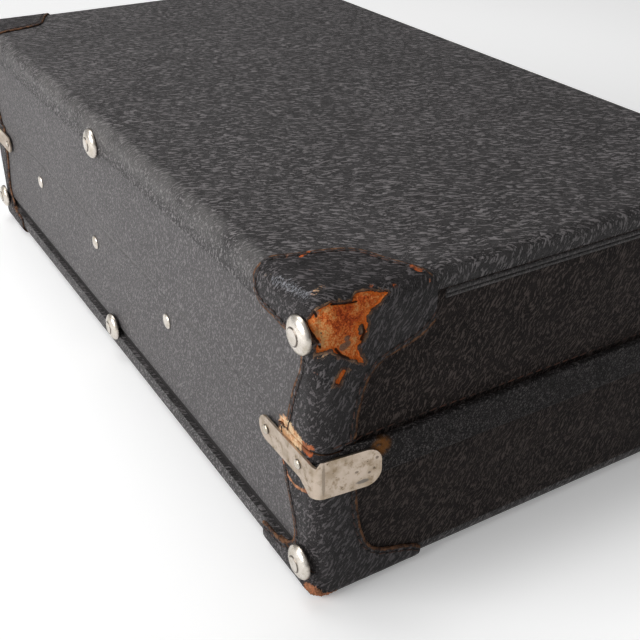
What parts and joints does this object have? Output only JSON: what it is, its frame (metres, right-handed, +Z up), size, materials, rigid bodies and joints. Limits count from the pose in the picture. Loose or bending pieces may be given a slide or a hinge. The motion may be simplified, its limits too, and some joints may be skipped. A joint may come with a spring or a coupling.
{
  "type": "leather suitcase",
  "caption": "Hard leather suitcase lying on its large face, lid on a leather hinge, stitched corner patches, domed metal feet, corner brackets, latches and a carrying handle.",
  "frame": {"origin": "centre of the bounding box in X and Y, at the resting face", "axes": "+Z up with the case lying on its base, +X along the length, -Y towards the handle and latches, +Y towards the hinge and the domed feet"},
  "size_m": [0.5778, 0.3418, 0.1796],
  "materials": {
    "case_leather": "worn long-grain cowhide",
    "patch_leather": "worn, tan fibre at the tears",
    "strip_leather": "fine pebble grain",
    "handle_leather": "stitched, polished by use",
    "nickel_plate": "aged nickel plate, lightly stained",
    "board": "pressed fibre board, dark edge",
    "lining": "plain woven cotton",
    "tongue": "smooth, covered board"
  },
  "bodies": {
    "base": {"base_board_shell": "board", "base_bottom_leather": "case_leather", "base_corner_patch_back_left": "patch_leather", "base_corner_patch_back_right": "patch_leather", "base_corner_patch_front_left": "patch_leather", "base_corner_patch_front_right": "patch_leather", "base_feet": "nickel_plate", "base_lining": "lining", "base_side_leather": "case_leather", "bracket_rivets": "nickel_plate", "corner_bracket_left": "nickel_plate", "corner_bracket_right": "nickel_plate", "front_rivets_base": "nickel_plate", "handle_bracket_left": "nickel_plate", "handle_bracket_right": "nickel_plate", "handle_pin_left": "nickel_plate", "handle_pin_right": "nickel_plate", "hinge_leather": "case_leather", "hinge_rivets": "nickel_plate", "lock_case_left": "nickel_plate", "lock_case_right": "nickel_plate", "rim_strip_front": "strip_leather", "rim_strip_left": "strip_leather", "rim_strip_right": "strip_leather", "rim_tongue": "tongue"},
    "lid": {"front_rivets_lid": "nickel_plate", "hasp_pin_left": "nickel_plate", "hasp_pin_right": "nickel_plate", "hasp_plate_left": "nickel_plate", "hasp_plate_right": "nickel_plate", "lid_board_shell": "board", "lid_corner_patch_back_left": "patch_leather", "lid_corner_patch_back_right": "patch_leather", "lid_corner_patch_front_left": "patch_leather", "lid_corner_patch_front_right": "patch_leather", "lid_feet": "nickel_plate", "lid_lining": "lining", "lid_side_leather": "case_leather", "lid_top_leather": "case_leather", "lid_welt_front": "patch_leather", "lid_welt_left": "patch_leather", "lid_welt_right": "patch_leather"},
    "handle": {"handle_grip": "handle_leather"},
    "left_hasp": {"hasp_left": "nickel_plate"},
    "right_hasp": {"hasp_right": "nickel_plate"},
    "left_bolt": {"lock_bolt_left": "nickel_plate", "lock_button_left": "nickel_plate"},
    "right_bolt": {"lock_bolt_right": "nickel_plate", "lock_button_right": "nickel_plate"}
  },
  "joints": [
    {"name": "lid_hinge", "type": "hinge", "parent": "base", "child": "lid", "pos_m": [0, 0.1638, 0.096], "axis": [-1, 0, 0], "range_deg": [0, 165], "deforming": ["hinge_leather"]},
    {"name": "handle_swing", "type": "hinge", "parent": "base", "child": "handle", "pos_m": [0, -0.1619, 0.047], "axis": [-1, 0, 0], "range_deg": [0, 160]},
    {"name": "left_hasp_hinge", "type": "hinge", "parent": "lid", "child": "left_hasp", "pos_m": [-0.176, -0.1561, 0.108], "axis": [-1, 0, 0], "range_deg": [0, 110]},
    {"name": "right_hasp_hinge", "type": "hinge", "parent": "lid", "child": "right_hasp", "pos_m": [0.176, -0.1561, 0.108], "axis": [-1, 0, 0], "range_deg": [0, 110]},
    {"name": "left_bolt_slide", "type": "slide", "parent": "base", "child": "left_bolt", "axis": [1, 0, 0], "range_m": [0, 0.006]},
    {"name": "right_bolt_slide", "type": "slide", "parent": "base", "child": "right_bolt", "axis": [-1, 0, 0], "range_m": [0, 0.006]}
  ]
}
